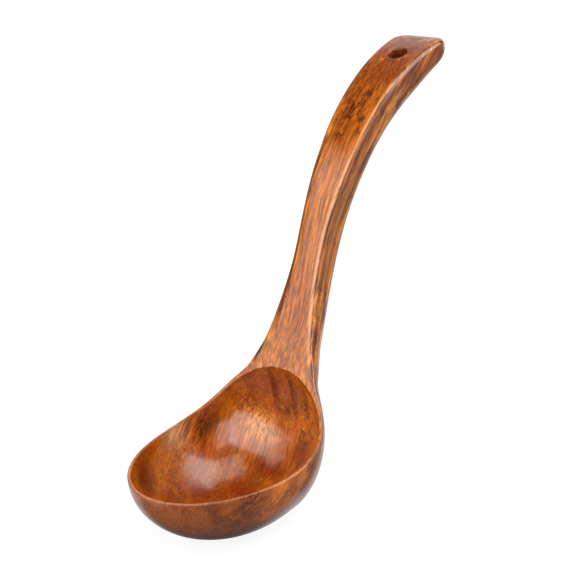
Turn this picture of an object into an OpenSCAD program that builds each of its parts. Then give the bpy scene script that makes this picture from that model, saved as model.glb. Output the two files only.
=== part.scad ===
// Carved wooden soup ladle: a deep egg-shaped bowl and a long curved handle, shaped
// from one length of wood, with a hanging hole near the rounded end of the handle.
// Millimetres. X runs across the ladle, the tip of the bowl points to -Y, the handle
// rises and leans back to +Y, and Z is up. The rim of the bowl is level.
// The upper face is a band that is straight across and bends only along its length.
// Distances along the ladle are measured on that face from the tip of the rim.
// Every cross-section stands square to the face and hangs below it.

/* [Bowl] */
// Width of the bowl across the rim
bowl_width = 76; // [72:1:80]
// Length of the rim from the tip to where it dies into the handle
bowl_length = 99; // [94:1:104]
// Depth of the outside of the bowl at its deepest point
bowl_depth = 35; // [32.5:0.5:37.5]
// Distance from the tip to the deepest point
deepest_point = 54; // [50:1:58]
// How much fuller the rim is toward the handle than toward the tip
rim_egg = 0.01; // [0:0.01:0.08]

/* [Hollow] */
// Width of the flat land of the rim
rim_width = 1.6; // [1.2:0.1:2.4]
// Wood left under the hollow at its deepest point
floor_thickness = 5.5; // [4:0.5:7]
// Softening of the outer edge of the rim
rim_softening = 0.4; // [0.2:0.1:0.6]

/* [Handle widths] */
// Length of the handle from the end of the rim to its tip
handle_length = 186; // [178:1:194]
// Width of the flare where the handle meets the rim
foot_width = 42; // [39:0.5:47]
// Width just behind the hollow
root_width = 25.4; // [24:0.2:28]
// Width at the narrowest point
neck_width = 15.8; // [14:0.2:18]
// Width in the middle of the grip
grip_width = 20.6; // [19:0.2:22]
// Width where the handle bends back
crook_width = 25; // [23.4:0.2:27]
// Width at the rounded end
end_width = 29.2; // [27:0.2:31]
// Length of the rounded corners at the end
corner_length = 11; // [9:0.5:13]

/* [Handle thickness] */
// Depth of the section under the back third of the bowl
heel_depth = 36.5; // [35:0.5:38]
// Depth of the section where the flare begins
foot_depth = 20; // [19:0.5:21.5]
// Thickness just behind the hollow
root_thickness = 17; // [16:0.5:18]
// Thickness at the neck
neck_thickness = 16.5; // [14:0.5:18]
// Thickness in the middle of the grip
grip_thickness = 16.5; // [14:0.5:18]
// Thickness where the handle bends back
crook_thickness = 17; // [14:0.5:18]
// Thickness at the rounded end
end_thickness = 9.5; // [8:0.5:11]
// Rounding of the long edges of the handle's face
edge_rounding = 1.75; // [1:0.25:2.5]

/* [Handle curve] */
// Slope of the face at the middle of the rim, in degrees
rim_angle = 2.5; // [0:0.5:4]
// Slope where the rim starts to rise
heel_angle = 17; // [14:1:20]
// Slope at the foot of the handle
foot_angle = 57; // [53:1:60]
// Slope of the straight lower handle
lean_angle = 65.5; // [62:0.5:69]
// Slope in the middle of the grip
grip_angle = 50.5; // [46:0.5:55]
// Slope where the handle bends back
crook_angle = 28; // [24:1:32]
// Slope at the very end
end_angle = 3; // [0:1:10]

/* [Hanging hole] */
// Diameter of the hanging hole
hole_diameter = 9; // [7:0.5:10]
// Distance from the centre of the hole to the end of the handle
hole_from_end = 26; // [22:1:30]

/* [Hidden] */
wood = [0.60, 0.28, 0.12];

// Places along the face
total = bowl_length + handle_length;
mid_at = 0.44 * bowl_length;
belly_at = 0.55 * bowl_length;
heel_at = 0.65 * bowl_length;
foot_at = 0.87 * bowl_length;
root_at = bowl_length + 0.07 * handle_length;
neck_at = bowl_length + 0.28 * handle_length;
grip_at = bowl_length + 0.53 * handle_length;
crook_at = bowl_length + 0.775 * handle_length;
back_edge = bowl_length - rim_width;
web = 6;
seam_at = back_edge + web;
hole_at = total - hole_from_end;
// Where the sides of the rim start to turn into the handle, and over what length
flare_start = 0.45 * bowl_length;
flare_run = 0.4 * bowl_length;
// Where the soft edge of the rim starts to grow into the handle's larger rounding
soft_start = 0.7 * bowl_length;
soft_run = 0.35 * bowl_length;
// Width that the flare would have beside the deepest part of the bowl
shoulder_at = 0.7 * bowl_length;
shoulder_width = 23.5;

// How square the section is: 2 is an ellipse, more is squarer, less is slimmer
bowl_square = 2;
foot_square = 1.4;
root_square = 2.2;
grip_square = 3.6;
corner_square = 2.5;
// How sharply the rim takes over from the flare of the handle
blend_power = 9;
// Largest rounding of an edge as a share of the section's half width and of its depth
edge_share = 0.3;
// The rounded end: how far the face drops and the back lifts, and over what length
face_drop = 0.3 * end_thickness;
face_drop_run = 0.45 * corner_length;
back_lift = 0.55 * end_thickness;
back_lift_run = 0.75 * corner_length;
// Share of the face's slope that the floor of the hollow follows
hollow_follow = 0.5;
// Extra steepness of the back wall of the hollow
back_steepness = 0.3;

// A smooth curve through given points that never overshoots them
function inner_slope(h0, h1, d0, d1) =
    d0 * d1 <= 0 ? 0
    : 3 * (h0 + h1) / ((2 * h1 + h0) / d0 + (h1 + 2 * h0) / d1);
function first_guess(h0, h1, d0, d1) = ((2 * h0 + h1) * d0 - h0 * d1) / (h0 + h1);
function end_slope(h0, h1, d0, d1) =
    let (v = first_guess(h0, h1, d0, d1))
    v * d0 <= 0 ? 0
    : (d0 * d1 <= 0 && abs(v) > 3 * abs(d0)) ? 3 * d0
    : v;
function slopes(x, y) =
    let (n = len(x))
    let (h = [for (i = [0 : n - 2]) x[i + 1] - x[i]])
    let (d = [for (i = [0 : n - 2]) (y[i + 1] - y[i]) / h[i]])
    [for (i = [0 : n - 1])
        i == 0 ? end_slope(h[0], h[1], d[0], d[1])
        : i == n - 1 ? end_slope(h[n - 2], h[n - 3], d[n - 2], d[n - 3])
        : inner_slope(h[i - 1], h[i], d[i - 1], d[i])];
function hermite(h, t, y0, y1, m0, m1) =
    y0 * (1 + 2 * t) * (1 - t) * (1 - t)
    + y1 * t * t * (3 - 2 * t)
    + h * t * (1 - t) * (m0 * (1 - t) - m1 * t);
function through(x, y, m, at) =
    let (q = max(x[0], min(x[len(x) - 1], at)))
    let (i = min(len(x) - 2, len([for (v = x) if (v <= q) 1]) - 1))
    let (h = x[i + 1] - x[i])
    hermite(h, (q - x[i]) / h, y[i], y[i + 1], m[i], m[i + 1]);
function ease(t) =
    let (k = max(0, min(1, t)))
    k * k * (3 - 2 * k);

// Slope of the face along its length
slope_at = [0, mid_at, heel_at, foot_at, root_at, neck_at, grip_at, crook_at, total];
slope_by = [0, rim_angle, heel_angle, foot_angle, lean_angle, lean_angle,
    grip_angle, crook_angle, end_angle];
slope_m = slopes(slope_at, slope_by);
function slope(s) = through(slope_at, slope_by, slope_m, s);

// The face followed from the tip in short steps
step = 0.5;
trace = [for (s = 0, y = 0, z = 0; s <= total + 2 * step;
    y = y + step * cos(slope(s + step / 2)),
    z = z + step * sin(slope(s + step / 2)),
    s = s + step) [s, y, z]];
trace_y = [for (t = trace) [t[0], t[1]]];
trace_z = [for (t = trace) [t[0], t[2]]];
function face_y(s) = lookup(s, trace_y);
function face_z(s) = lookup(s, trace_z);
// A point a given distance across and below the face, square to the slope a
function below(s, x, d, a) = [x, face_y(s) + d * sin(a), face_z(s) - d * cos(a)];

// Half width of the face
width_at = [shoulder_at, foot_at, root_at, neck_at, grip_at, crook_at, total];
width_by = [shoulder_width, foot_width, root_width, neck_width,
    grip_width, crook_width, end_width] / 2;
width_m = slopes(width_at, width_by);
function egg(u) = sqrt(max(0, 1 - u * u)) * (1 - rim_egg * u);
function rim_half(s) = bowl_width / 2 * egg(max(-1, 1 - 2 * s / bowl_length));
function stem_half(s) =
    through(width_at, width_by, width_m, s)
    * ease((s - flare_start) / flare_run);
function blended(s) =
    pow(pow(rim_half(s), blend_power) + pow(stem_half(s), blend_power), 1 / blend_power);
function corner(s) =
    let (e = max(0, (s - total) / corner_length + 1))
    pow(max(0, 1 - pow(e, corner_square)), 1 / corner_square);
function half_width(s) = blended(s) * corner(s);

// Depth of the section under the face
depth_at = [deepest_point, heel_at, foot_at, root_at, neck_at, grip_at, crook_at, total];
depth_by = [bowl_depth, heel_depth, foot_depth, root_thickness, neck_thickness,
    grip_thickness, crook_thickness, end_thickness];
depth_m = slopes(depth_at, depth_by);
function nose(s) = let (q = 1 - s / deepest_point) sqrt(max(0, 1 - q * q));
function depth(s) =
    s < deepest_point ? bowl_depth * nose(s) : through(depth_at, depth_by, depth_m, s);

// Squareness of the section
square_at = [0, belly_at, foot_at, root_at, neck_at, total];
square_by = [bowl_square, bowl_square, foot_square, root_square, grip_square, grip_square];
square_m = slopes(square_at, square_by);
function square(s) = through(square_at, square_by, square_m, s);

// How far the face drops or the back lifts toward the rounded end
function fall(s, most, run) =
    let (k = max(0, min(1, (s - total) / run + 1)))
    most * (1 - sqrt(1 - k * k));
function top(s) = fall(s, face_drop, face_drop_run);
function bottom(s) = depth(s) - fall(s, back_lift, back_lift_run);

// Rounding of the long edges, soft on the rim and larger on the handle
function edge(s) =
    let (r = rim_softening + (edge_rounding - rim_softening) * ease((s - soft_start) / soft_run))
    min(r, edge_share * half_width(s), edge_share * (bottom(s) - top(s)));

// One section from the right edge of the face round the back to the left edge
arc_n = 3;
side_n = 12;
function arc_point(w, t, r, i) = [w - r + r * sin(90 * i / arc_n), t + r - r * cos(90 * i / arc_n)];
function side_point(w, t, b, n, i) =
    [w * pow(cos(90 * i / side_n), 2 / n), t + (b - t) * pow(sin(90 * i / side_n), 2 / n)];
function half_section(s) =
    let (w = half_width(s), r = edge(s), t = top(s), b = bottom(s), n = square(s))
    concat([for (i = [0 : arc_n - 1]) arc_point(w, t, r, i)],
        [for (i = [0 : side_n]) side_point(w, t + r, b, n, i)]);
function mirrored(p) = [for (i = [len(p) - 2 : -1 : 0]) [-p[i][0], p[i][1]]];
function ring(s) =
    let (p = half_section(s), a = slope(s))
    [for (v = concat(p, mirrored(p))) below(s, v[0], v[1], a)];
ring_n = 2 * (arc_n + side_n) + 1;

// The hollow, narrower than the rim by the land all round
hollow_n = 36;
hollow_m = 28;
hollow_length = bowl_length - 2 * rim_width;
function hollow_place(k) = rim_width + hollow_length * (1 - cos(180 * k / hollow_n)) / 2;
function hollow_u(s) = 1 - 2 * (s - rim_width) / hollow_length;
function hollow_half(s) = (bowl_width / 2 - rim_width) * egg(hollow_u(s));
function hollow_depth(s) =
    let (u = hollow_u(s))
    (bowl_depth - floor_thickness)
    * pow(max(0, 1 - u * u), 0.5 + back_steepness * ease(-u));
function hollow_ring(s) =
    let (c = hollow_half(s), g = hollow_depth(s), a = slope(s) * hollow_follow)
    [for (i = [0 : hollow_m])
        below(s, c * cos(180 * i / hollow_m), g * sin(180 * i / hollow_m), a)];

// Places of the sections of the bowl and of the handle
front_places = [rim_width / 9, rim_width * 4 / 9, rim_width];
hollow_places = [for (k = [1 : hollow_n - 1]) hollow_place(k)];
bowl_places = concat(front_places, hollow_places, [back_edge, (back_edge + seam_at) / 2, seam_at]);
bowl_rings = [for (s = bowl_places) ring(s)];
corner_start = total - corner_length;
stem_n = 44;
stem_places = [for (i = [0 : stem_n]) seam_at + (corner_start - seam_at) * i / stem_n];
corner_shares = [0.25, 0.45, 0.6, 0.72, 0.82, 0.9, 0.955, 0.985, 0.9975, 0.9998];
corner_places = [for (e = corner_shares) corner_start + corner_length * e];
handle_rings = [for (s = concat(stem_places, corner_places)) ring(s)];

// Origin under the middle of the whole ladle, on the ground
function lowest(rings, k) = min([for (r = rings) min([for (p = r) p[k]])]);
function highest(rings, k) = max([for (r = rings) max([for (p = r) p[k]])]);
ground = lowest(bowl_rings, 2);
middle = (min(0, lowest(bowl_rings, 1)) + highest(handle_rings, 1)) / 2;

// Triangles between two rows of points
function quad(a, b, c, d) = [[a, b, c], [a, c, d]];
function flip(list) = [for (f = list) [for (i = [len(f) - 1 : -1 : 0]) f[i]]];
function join(lists) = [for (l = lists) for (f = l) f];
function skin(first, n, rows) =
    join([for (i = [0 : rows - 2]) for (j = [0 : n - 2])
        let (a = first + i * n + j)
        quad(a, a + 1, a + n + 1, a + n)]);

module bowl() {
    // Point numbers: the tip, the outer rings, the hollow's rings and its two ends
    rows = len(bowl_rings);
    inner_n = hollow_m + 1;
    inner_rows = hollow_n - 1;
    inner_0 = 1 + rows * ring_n;
    front_end = inner_0 + inner_rows * inner_n;
    back_end = front_end + 1;
    lip = len(front_places) - 1;
    back = lip + hollow_n;
    right = [for (i = [0 : rows - 1]) 1 + i * ring_n];
    left = [for (i = [0 : rows - 1]) right[i] + ring_n - 1];
    rim_r = [for (k = [0 : hollow_n])
        k == 0 ? front_end : k == hollow_n ? back_end : inner_0 + (k - 1) * inner_n];
    rim_l = [for (k = [0 : hollow_n])
        k == 0 ? front_end : k == hollow_n ? back_end : rim_r[k] + inner_n - 1];
    points = concat(
        [below(0, 0, 0, 0)],
        join(bowl_rings),
        join([for (s = hollow_places) hollow_ring(s)]),
        [below(rim_width, 0, 0, 0), below(back_edge, 0, 0, 0)]);
    // Nose, outer skin and the planar end toward the handle
    nose_faces = concat([for (j = [0 : ring_n - 2]) [0, 1 + j, 2 + j]], [[0, left[0], right[0]]]);
    outer_faces = flip(skin(1, ring_n, rows));
    seam_face = [[for (j = [ring_n - 1 : -1 : 0]) right[rows - 1] + j]];
    // Flat face in front of the hollow, beside it and behind it
    front_faces = concat(
        join([for (i = [0 : lip - 2]) quad(left[i], right[i], right[i + 1], left[i + 1])]),
        [[left[lip - 1], right[lip - 1], front_end],
            [right[lip - 1], right[lip], front_end],
            [left[lip], left[lip - 1], front_end]]);
    land_faces = join([for (k = [0 : hollow_n - 1])
        let (i = lip + k)
        concat(
            k == 0 ? [[right[i], right[i + 1], rim_r[1]], [right[i], rim_r[1], front_end]]
            : quad(right[i], right[i + 1], rim_r[k + 1], rim_r[k]),
            k == 0 ? [[left[i + 1], left[i], rim_l[1]], [rim_l[1], left[i], front_end]]
            : quad(left[i + 1], left[i], rim_l[k], rim_l[k + 1]))]);
    behind_faces = concat(
        [[right[back], right[back + 1], back_end],
            [back_end, right[back + 1], left[back + 1]],
            [left[back + 1], left[back], back_end]],
        quad(left[back + 1], right[back + 1], right[back + 2], left[back + 2]));
    // The hollow
    hollow_faces = concat(
        [for (j = [0 : inner_n - 2]) [front_end, inner_0 + j + 1, inner_0 + j]],
        skin(inner_0, inner_n, inner_rows),
        [for (j = [0 : inner_n - 2])
            let (a = inner_0 + (inner_rows - 1) * inner_n + j)
            [a, a + 1, back_end]]);
    color(wood)
    translate([0, -middle, -ground])
    polyhedron(points = points, convexity = 6,
        faces = concat(flip(concat(front_faces, land_faces, behind_faces)),
            nose_faces, outer_faces, seam_face, hollow_faces));
}

module handle_blank() {
    rows = len(handle_rings);
    right = [for (i = [0 : rows - 1]) i * ring_n];
    left = [for (i = [0 : rows - 1]) right[i] + ring_n - 1];
    top_faces = join([for (i = [0 : rows - 2]) quad(left[i], right[i], right[i + 1], left[i + 1])]);
    seam_face = [[for (j = [0 : ring_n - 1]) j]];
    end_face = [[for (j = [ring_n - 1 : -1 : 0]) right[rows - 1] + j]];
    polyhedron(points = join(handle_rings), convexity = 4,
        faces = concat(flip(concat(top_faces, skin(0, ring_n, rows))), seam_face, end_face));
}

module handle() {
    color(wood)
    translate([0, -middle, -ground])
    difference() {
        handle_blank();
        // Hanging hole square to the face
        translate([0, face_y(hole_at), face_z(hole_at)])
        rotate([slope(hole_at), 0, 0])
        translate([0, 0, -2 * crook_thickness])
        cylinder(d = hole_diameter, h = 3 * crook_thickness, $fn = 64);
    }
}

bowl();
handle();
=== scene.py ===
import math

import bmesh
import bpy
from mathutils import Matrix, Vector


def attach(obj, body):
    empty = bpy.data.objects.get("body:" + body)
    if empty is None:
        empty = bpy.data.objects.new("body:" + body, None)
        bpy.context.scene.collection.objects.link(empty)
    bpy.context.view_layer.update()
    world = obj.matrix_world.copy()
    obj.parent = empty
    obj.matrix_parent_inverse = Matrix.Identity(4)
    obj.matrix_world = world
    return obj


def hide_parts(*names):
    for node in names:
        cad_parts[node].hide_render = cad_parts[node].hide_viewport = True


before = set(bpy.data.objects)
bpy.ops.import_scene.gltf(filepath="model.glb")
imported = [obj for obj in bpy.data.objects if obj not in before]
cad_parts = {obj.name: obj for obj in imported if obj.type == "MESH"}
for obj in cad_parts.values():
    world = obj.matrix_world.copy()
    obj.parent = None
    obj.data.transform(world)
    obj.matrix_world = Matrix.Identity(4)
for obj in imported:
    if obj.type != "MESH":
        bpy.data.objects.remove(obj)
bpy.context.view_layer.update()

MM = 0.001
BODY = "root"

# Shape of the ladle, in millimetres. The formulas are those of the CAD source: a face that
# follows an S curve, with sections square to it. The bevel along the face's left edge and the
# rounder end are the scene's own. s runs along the face from the bowl's tip, and x is across it.
BOWL_W, BOWL_L, BOWL_D, DEEPEST, RIM_EGG = 76.0, 99.0, 35.0, 54.0, 0.01
RIM, FLOOR = 1.6, 5.5
STEM_L = 186.0
TOTAL = BOWL_L + STEM_L
HOLE_R, HOLE_IN = 4.5, 26.0
END_THICK = 9.5
HOLLOW_FOLLOW, BACK_STEEP = 0.5, 0.3

# Where the shape changes, along s
MID = 0.44 * BOWL_L
HEEL = 0.65 * BOWL_L
FOOT = 0.87 * BOWL_L
ROOT = BOWL_L + 0.07 * STEM_L
NECK = BOWL_L + 0.28 * STEM_L
GRIP = BOWL_L + 0.53 * STEM_L
CROOK = BOWL_L + 0.775 * STEM_L
SEAM = BOWL_L - RIM + 6.0
HOLE_AT = TOTAL - HOLE_IN

# The stem's width blends into the bowl's outline: from which share of the bowl's length, over
# which share, and how sharply
STEM_FROM, STEM_GROWS, BLEND_POWER = 0.45, 0.40, 9.0
# The rounded end: its outline in plan, how far the face drops there and how far the back rises
CORNER_L, CORNER_POWER = 12.5, 2.2
FACE_DROP, FACE_RUN = 0.36 * END_THICK, 0.80 * CORNER_L
BACK_LIFT, BACK_RUN = 0.60 * END_THICK, 1.20 * CORNER_L
# Radius of the face's edges: at the bowl's lip, along the stem, and what the end adds. Then
# from which share of the bowl's length it grows, over which share, and its largest shares of
# the half width and of the depth, with what the end adds to the latter.
LIP_R, EDGE_R, END_R = 0.4, 1.75, 1.6
EDGE_FROM, EDGE_GROWS = 0.70, 0.35
EDGE_OF_WIDTH, EDGE_OF_DEPTH, END_OF_DEPTH = 0.3, 0.3, 0.17
# Bevel along the left edge of the stem's face: its width, its drop, how deep down the side it
# reaches, and where it fades out
BEVEL_W, BEVEL_D, BEVEL_REACH = 4.4, 0.7, 6.0
BEVEL_FADES, BEVEL_FADE_RUN = 190, 25
# The part of the stem whose edges are marked, and the lengths over which the marks come and go
STEM_MARKS, MARKS_COME, MARKS_FADE, MARKS_GO = BOWL_L + 2, 22, 235, 14


def clamp(v, lo=0.0, hi=1.0):
    return max(lo, min(hi, v))


def ease(t):
    k = clamp(t)
    return k * k * (3 - 2 * k)


class Through:
    """A smooth curve through given points that never overshoots them."""

    def __init__(self, x, y):
        self.x, self.y = x, y
        n = len(x)
        h = [x[i + 1] - x[i] for i in range(n - 1)]
        d = [(y[i + 1] - y[i]) / h[i] for i in range(n - 1)]
        m = [0.0] * n
        for i in range(1, n - 1):
            if d[i - 1] * d[i] > 0:
                a, b = 2 * h[i] + h[i - 1], h[i] + 2 * h[i - 1]
                m[i] = (a + b) / (a / d[i - 1] + b / d[i])
        m[0] = self.end(h[0], h[1], d[0], d[1])
        m[-1] = self.end(h[-1], h[-2], d[-1], d[-2])
        self.m = m

    @staticmethod
    def end(h0, h1, d0, d1):
        v = ((2 * h0 + h1) * d0 - h0 * d1) / (h0 + h1)
        if v * d0 <= 0:
            return 0.0
        if d0 * d1 <= 0 and abs(v) > 3 * abs(d0):
            return 3 * d0
        return v

    def __call__(self, at):
        x, y, m = self.x, self.y, self.m
        q = clamp(at, x[0], x[-1])
        i = 0
        while i < len(x) - 2 and q >= x[i + 1]:
            i += 1
        h = x[i + 1] - x[i]
        t = (q - x[i]) / h
        return (y[i] * (1 + 2 * t) * (1 - t) ** 2 + y[i + 1] * t * t * (3 - 2 * t)
                + h * t * (1 - t) * (m[i] * (1 - t) - m[i + 1] * t))


slope_deg = Through([0, MID, HEEL, FOOT, ROOT, NECK, GRIP, CROOK, TOTAL],
                    [0, 2.5, 17, 57, 65.5, 65.5, 50.5, 28, 3])
stem_half = Through([0.7 * BOWL_L, FOOT, ROOT, NECK, GRIP, CROOK, TOTAL],
                    [11.75, 21, 12.7, 7.9, 10.3, 12.5, 14.6])
stem_depth = Through([DEEPEST, HEEL, FOOT, ROOT, NECK, GRIP, CROOK, TOTAL],
                     [BOWL_D, 36.5, 20, 17, 16.5, 16.5, 17, END_THICK])
square = Through([0, 0.55 * BOWL_L, FOOT, ROOT, NECK, TOTAL], [2, 2, 1.4, 2.2, 3.6, 3.6])


def slope(s):
    return math.radians(slope_deg(s))


STEP, SPARE_STEPS = 0.5, 8


def trace():
    """The middle line of the face as (y, z) points, STEP apart, and a little past its end."""
    points = [(0.0, 0.0)]
    for k in range(int(TOTAL / STEP) + SPARE_STEPS):
        a = slope((k + 0.5) * STEP)
        y, z = points[-1]
        points.append((y + STEP * math.cos(a), z + STEP * math.sin(a)))
    return points


TRACE = trace()


def face(s):
    """The middle of the face at s, as (y, z)."""
    k = clamp(s / STEP, 0, len(TRACE) - 1.001)  # stays short of the last point
    i = int(k)
    t = k - i
    (y0, z0), (y1, z1) = TRACE[i], TRACE[i + 1]
    return y0 + (y1 - y0) * t, z0 + (z1 - z0) * t


def below(s, x, d, a):
    """A point a distance d below the face at s, measured square to the slope a."""
    y, z = face(s)
    return (x, y + d * math.sin(a), z - d * math.cos(a))


def face_normal(s):
    a = slope(s)
    return Vector((0, -math.sin(a), math.cos(a)))


# The wood's grain: straight through the bowl, along the handle's curve, and straight at its end.
# GRAIN_LAG is how far the grain stays behind the face's slope along the handle.
GRAIN, GRAIN_LAG = math.radians(49), math.radians(3)
STRAIGHT_TO, BENT_FROM, BENT_TO = SEAM, SEAM + 20, 205.0
START = int(STRAIGHT_TO / STEP)


def grain_angle(s):
    bent = slope(min(s, BENT_TO)) - GRAIN_LAG
    return GRAIN + (bent - GRAIN) * ease((s - STRAIGHT_TO) / (BENT_FROM - STRAIGHT_TO))


def straight_grain(y, z):
    """How far a point lies along the straight grain and square to it."""
    return y * math.cos(GRAIN) + z * math.sin(GRAIN), z * math.cos(GRAIN) - y * math.sin(GRAIN)


def grain_flow():
    """For each step of the bent part: the place in the wood, and the angles of face and grain."""
    flow = [straight_grain(*TRACE[START])]
    turns = [(slope(START * STEP), grain_angle(START * STEP))]
    for k in range(START + 1, len(TRACE)):
        a, g = slope(k * STEP), grain_angle(k * STEP)
        off = (a + turns[-1][0]) / 2 - (g + turns[-1][1]) / 2
        u, w = flow[-1]
        flow.append((u + STEP * math.cos(off), w + STEP * math.sin(off)))
        turns.append((a, g))
    return flow, turns


FLOW, TURNS = grain_flow()


def grain_place(p):
    """Where a point lies in the wood, in mm: across the grain, along it and square to both."""
    x, y, z = p

    def ahead(i):
        a = TURNS[i][0]
        fy, fz = TRACE[START + i]
        return (y - fy) * math.cos(a) + (z - fz) * math.sin(a)

    if ahead(0) <= 0:
        return (x, *straight_grain(y, z))
    lo, hi = 0, len(TURNS) - 2
    while hi - lo > 1:
        mid = (lo + hi) // 2
        if ahead(mid) > 0:
            lo = mid
        else:
            hi = mid
    a0, a1 = ahead(lo), ahead(hi)
    f = clamp(a0 / (a0 - a1)) if a0 != a1 else 0.0

    def part(pairs, first=0):
        (p0, q0), (p1, q1) = pairs[first + lo], pairs[first + hi]
        return p0 + (p1 - p0) * f, q0 + (q1 - q0) * f

    a, g = part(TURNS)
    u, w = part(FLOW)
    fy, fz = part(TRACE, START)
    d = (y - fy) * math.sin(a) - (z - fz) * math.cos(a)
    return (x, u + d * math.sin(a - g), w - d * math.cos(a - g))


def egg(u):
    return math.sqrt(max(0.0, 1 - u * u)) * (1 - RIM_EGG * u)


def half_width(s):
    rim = BOWL_W / 2 * egg(clamp(1 - 2 * s / BOWL_L, -1, 1))
    stem = stem_half(s) * ease((s / BOWL_L - STEM_FROM) / STEM_GROWS)
    w = (rim ** BLEND_POWER + stem ** BLEND_POWER) ** (1 / BLEND_POWER)
    e = max(0.0, (s - TOTAL) / CORNER_L + 1)
    return w * max(0.0, 1 - e ** CORNER_POWER) ** (1 / CORNER_POWER)


def depth(s):
    if s < DEEPEST:
        q = 1 - s / DEEPEST
        return BOWL_D * math.sqrt(max(0.0, 1 - q * q))
    return stem_depth(s)


def fall(s, most, run):
    """A quarter ellipse at the handle's end: 0 before the run, and most at the very end."""
    k = clamp((s - TOTAL) / run + 1)
    return most * (1 - math.sqrt(1 - k * k))


def face_sink(s):
    return fall(s, FACE_DROP, FACE_RUN)


def back_depth(s):
    return depth(s) - fall(s, BACK_LIFT, BACK_RUN)


def edge(s):
    """Radius of the face's edges, rounder towards the handle's end."""
    tip = ease((s - TOTAL) / CORNER_L + 1)
    r = LIP_R + (EDGE_R - LIP_R) * ease((s / BOWL_L - EDGE_FROM) / EDGE_GROWS) + END_R * tip
    thick = back_depth(s) - face_sink(s)
    return min(r, EDGE_OF_WIDTH * half_width(s), (EDGE_OF_DEPTH + END_OF_DEPTH * tip) * thick)


# Points of a section's right half: round the edge, and from there down to the middle of the
# back. FINE is the number of steps from which the latter are spaced out evenly.
ARC_N, SIDE_N, FINE = 7, 34, 160
RING_N = 2 * (ARC_N + SIDE_N) + 1


def side_curve(s):
    """The section's side and back as evenly spaced points, from below the edge."""
    w, r, n = half_width(s), edge(s), square(s)
    t, b = face_sink(s) + r, back_depth(s)
    fine = []
    for i in range(FINE + 1):
        q = math.pi / 2 * i / FINE
        fine.append((w * max(0.0, math.cos(q)) ** (2 / n), t + (b - t) * math.sin(q) ** (2 / n)))
    run = [0.0]
    for p, q in zip(fine, fine[1:]):
        run.append(run[-1] + math.hypot(q[0] - p[0], q[1] - p[1]))
    out, k = [], 0
    for i in range(SIDE_N + 1):
        goal = run[-1] * i / SIDE_N
        while k < FINE - 1 and run[k + 1] < goal:
            k += 1
        gap = run[k + 1] - run[k]
        f = clamp((goal - run[k]) / gap) if gap > 0 else 0.0
        p, q = fine[k], fine[k + 1]
        out.append((p[0] + (q[0] - p[0]) * f, p[1] + (q[1] - p[1]) * f))
    return out


def half_section(s):
    """Edge arc and side, without the flat of the face."""
    w, r, t = half_width(s), edge(s), face_sink(s)
    arc = []
    for i in range(ARC_N):
        q = math.pi / 2 * i / ARC_N
        arc.append((w - r + r * math.sin(q), t + r - r * math.cos(q)))
    return arc + side_curve(s)


def on_stem(s):
    return ease((s - STEM_MARKS) / MARKS_COME) * (1 - ease((s - MARKS_FADE) / MARKS_GO))


def bevel(s, x, d):
    """How much lower a point lies where the face turns down along its left edge."""
    k = clamp((-x - half_width(s) + BEVEL_W) / BEVEL_W)
    along = on_stem(s) * (1 - ease((s - BEVEL_FADES) / BEVEL_FADE_RUN))
    return BEVEL_D * along * k * k * max(0.0, 1 - d / BEVEL_REACH)


def face_point(s, x):
    return below(s, x, face_sink(s) + bevel(s, x, 0), slope(s))


def back_point(s, x):
    w, r, n = half_width(s), edge(s), square(s)
    t, b = face_sink(s) + r, back_depth(s)
    d = t + (b - t) * max(0.0, 1 - (abs(x) / w) ** n) ** (1 / n)
    return below(s, x, d, slope(s))


def ring(s):
    """Skin points from the right edge of the face, round the back, to the left edge."""
    p, a = half_section(s), slope(s)
    both = p + [(-x, d) for x, d in reversed(p[:-1])]
    return [below(s, x, d + bevel(s, x, d), a) for x, d in both]


# The hollow
HOLLOW_L = BOWL_L - 2 * RIM
TINY = 1e-9


def hollow_u(s):
    return clamp(1 - 2 * (s - RIM) / HOLLOW_L, -1, 1)


def hollow_half(s):
    return (BOWL_W / 2 - RIM) * egg(hollow_u(s))


def hollow_point(s, x):
    """A point of the hollow's wall over the place s, x of the face."""
    u, c = hollow_u(s), hollow_half(s)
    g = (BOWL_D - FLOOR) * max(0.0, 1 - u * u) ** (0.5 + BACK_STEEP * ease(-u))
    d = g * math.sqrt(max(0.0, 1 - (x / c) ** 2)) if c > TINY else 0.0
    return below(s, x, d, slope(s) * HOLLOW_FOLLOW)


# Marks on the stem's skin, from the face's right edge down the side. Above 0 the colour turns
# paler:
# on the right edge's rounding this is a painted highlight, lower on the side a paler gold band,
# and on the left edge wear. Below 0 it is darker, and inside the hole that darkening is painted
# shade.
RIGHT_MARKS = (0.5, 1.0, 1.0, 0.8, 0.1, -0.7, -0.9, 0.25, 0.1, -0.8, -1.0, -0.6,
               0.1, 0.4, 0.5, 0.5, 0.4, 0.2)
LEFT_MARK, BORE_SHADE_MARK = 0.12, -1.0


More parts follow.
